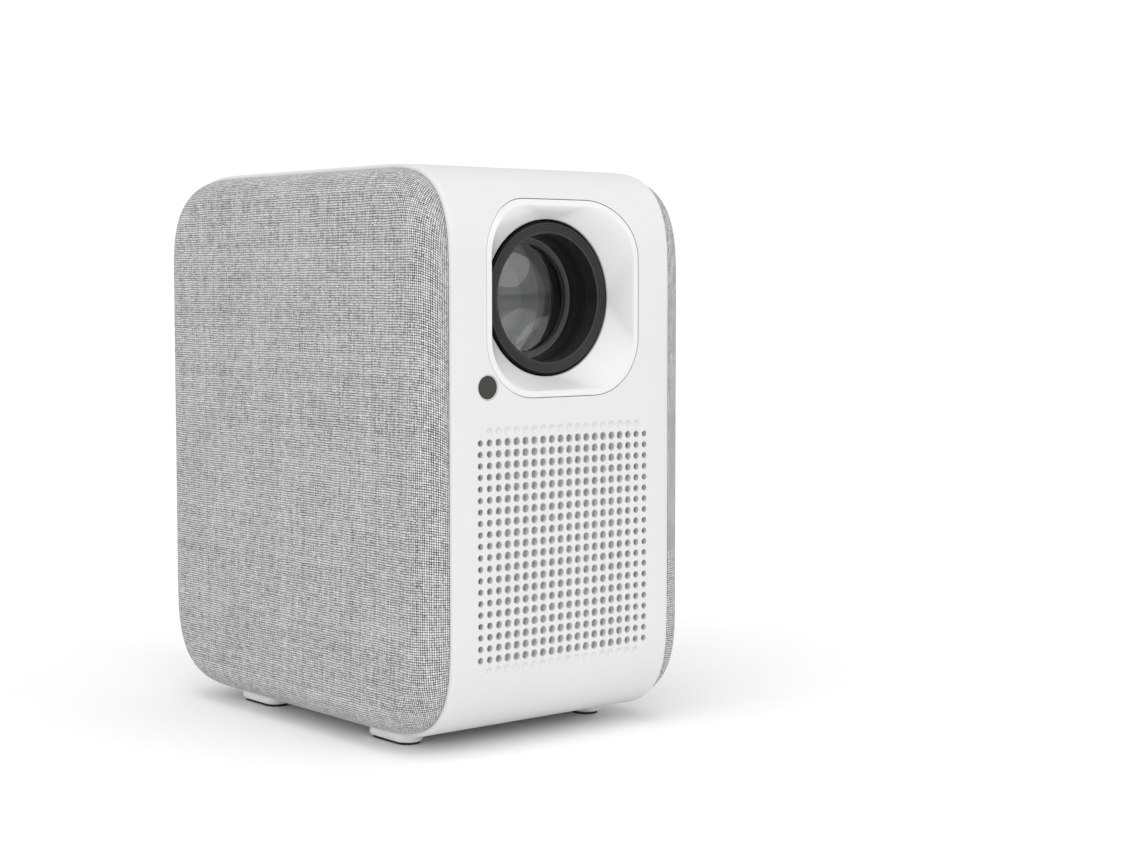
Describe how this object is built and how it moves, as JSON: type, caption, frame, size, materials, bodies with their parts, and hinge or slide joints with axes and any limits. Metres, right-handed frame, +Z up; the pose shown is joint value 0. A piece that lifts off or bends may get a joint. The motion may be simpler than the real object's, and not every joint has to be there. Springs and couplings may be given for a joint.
{
  "type": "home projector",
  "caption": "Upright home projector with a square lens trim, pierced front grille and rounded fabric sides on small feet.",
  "frame": {"origin": "on the floor, midway between the feet and under the middle of the body", "axes": "+Z up, the lens looks along -Y, +X is to the right when the lens faces the viewer"},
  "size_m": [0.1404, 0.207, 0.239],
  "materials": {
    "white_shell": "fine satin texture",
    "white_trim": "semi-gloss",
    "white_parts": "satin",
    "cloth": "heathered linen weave",
    "dark_plastic": "moulded",
    "black_plastic": "moulded",
    "black_ring": "satin with fine grooves",
    "pad_rubber": "matt",
    "lens_glass": "polished and coated",
    "window": "smoked, polished",
    "bezel": "satin",
    "circuit_board": "solder mask",
    "brass_parts": "turned",
    "steel_parts": "bright",
    "front_mirror": "front silvered",
    "panel_glass": "dark and polished",
    "reflector": "white reflective",
    "led_ceramic": "phosphor on ceramic",
    "bare_aluminium": "extruded",
    "copper_pipe": "drawn copper"
  },
  "bodies": {
    "body": {"main_shell": "white_shell", "rear_cover": "white_shell", "left_side_panel": "dark_plastic", "right_side_panel": "dark_plastic", "left_fabric": "cloth", "right_fabric": "cloth", "lens_trim": "white_trim", "sensor_bezel": "bezel", "sensor_window": "window", "sensor_board": "circuit_board", "front_left_foot": "white_parts", "front_right_foot": "white_parts", "rear_left_foot": "white_parts", "rear_right_foot": "white_parts", "front_left_pad": "pad_rubber", "front_right_pad": "pad_rubber", "rear_left_pad": "pad_rubber", "rear_right_pad": "pad_rubber", "tripod_insert": "brass_parts", "key_board": "circuit_board", "dust_filter": "white_parts", "intake_fan_frame": "black_plastic", "intake_fan_bearing": "brass_parts", "exhaust_fan_frame": "black_plastic", "exhaust_fan_bearing": "brass_parts", "lens_mount": "black_plastic", "focus_ring_clip": "steel_parts", "focus_motor": "steel_parts", "engine_housing": "black_plastic", "fold_mirror": "front_mirror", "panel_frame": "black_plastic", "field_lens": "lens_glass", "lcd_panel": "panel_glass", "collimating_lens": "lens_glass", "heat_glass": "lens_glass", "light_funnel": "reflector", "condenser_lens": "lens_glass", "led_module": "led_ceramic", "led_heat_sink": "bare_aluminium", "heat_pipes": "copper_pipe", "fin_stack": "bare_aluminium", "main_board": "circuit_board", "port_board": "circuit_board", "dc_jack": "black_plastic", "hdmi_port": "steel_parts", "usb_ports": "steel_parts", "audio_jack": "black_plastic", "speakers": "black_plastic", "case_screws": "steel_parts"},
    "lens": {"lens_front_ring": "black_ring", "lens_barrel": "black_plastic", "front_glass": "lens_glass", "middle_glass": "lens_glass", "rear_glass": "lens_glass", "focus_pins": "steel_parts"},
    "focus_gear_ring": {"focus_ring": "dark_plastic"},
    "pinion": {"focus_pinion": "brass_parts"},
    "intake_rotor": {"intake_fan_rotor": "dark_plastic"},
    "exhaust_rotor": {"exhaust_fan_rotor": "dark_plastic"},
    "button": {"power_button": "white_parts"}
  },
  "joints": [
    {"name": "focus_ring_turn", "type": "hinge", "parent": "body", "child": "focus_gear_ring", "pos_m": [0, -0.0491, 0.1846], "axis": [0, 1, 0], "range_deg": [-30, 30]},
    {"name": "lens_focus", "type": "slide", "parent": "body", "child": "lens", "axis": [0, 1, 0], "range_m": [-0.003, 0.003]},
    {"name": "pinion_turn", "type": "hinge", "parent": "body", "child": "pinion", "pos_m": [0.02942, -0.0556, 0.21402], "axis": [0, 1, 0], "range_deg": [-231, 231]},
    {"name": "intake_fan_spin", "type": "hinge", "parent": "body", "child": "intake_rotor", "pos_m": [0, -0.091, 0.0834], "axis": [0, 1, 0], "continuous": true},
    {"name": "exhaust_fan_spin", "type": "hinge", "parent": "body", "child": "exhaust_rotor", "pos_m": [0, 0.0901, 0.142], "axis": [0, 1, 0], "continuous": true},
    {"name": "power_button_press", "type": "slide", "parent": "body", "child": "button", "axis": [0, 0, 1], "range_m": [-0.0006, 0], "stiffness_N_per_m": 400}
  ],
  "couplings": [
    {"joint": "lens_focus", "follows": "focus_ring_turn", "m_per_rad": 0.0057296},
    {"joint": "pinion_turn", "follows": "focus_ring_turn", "ratio": -7.6667}
  ]
}
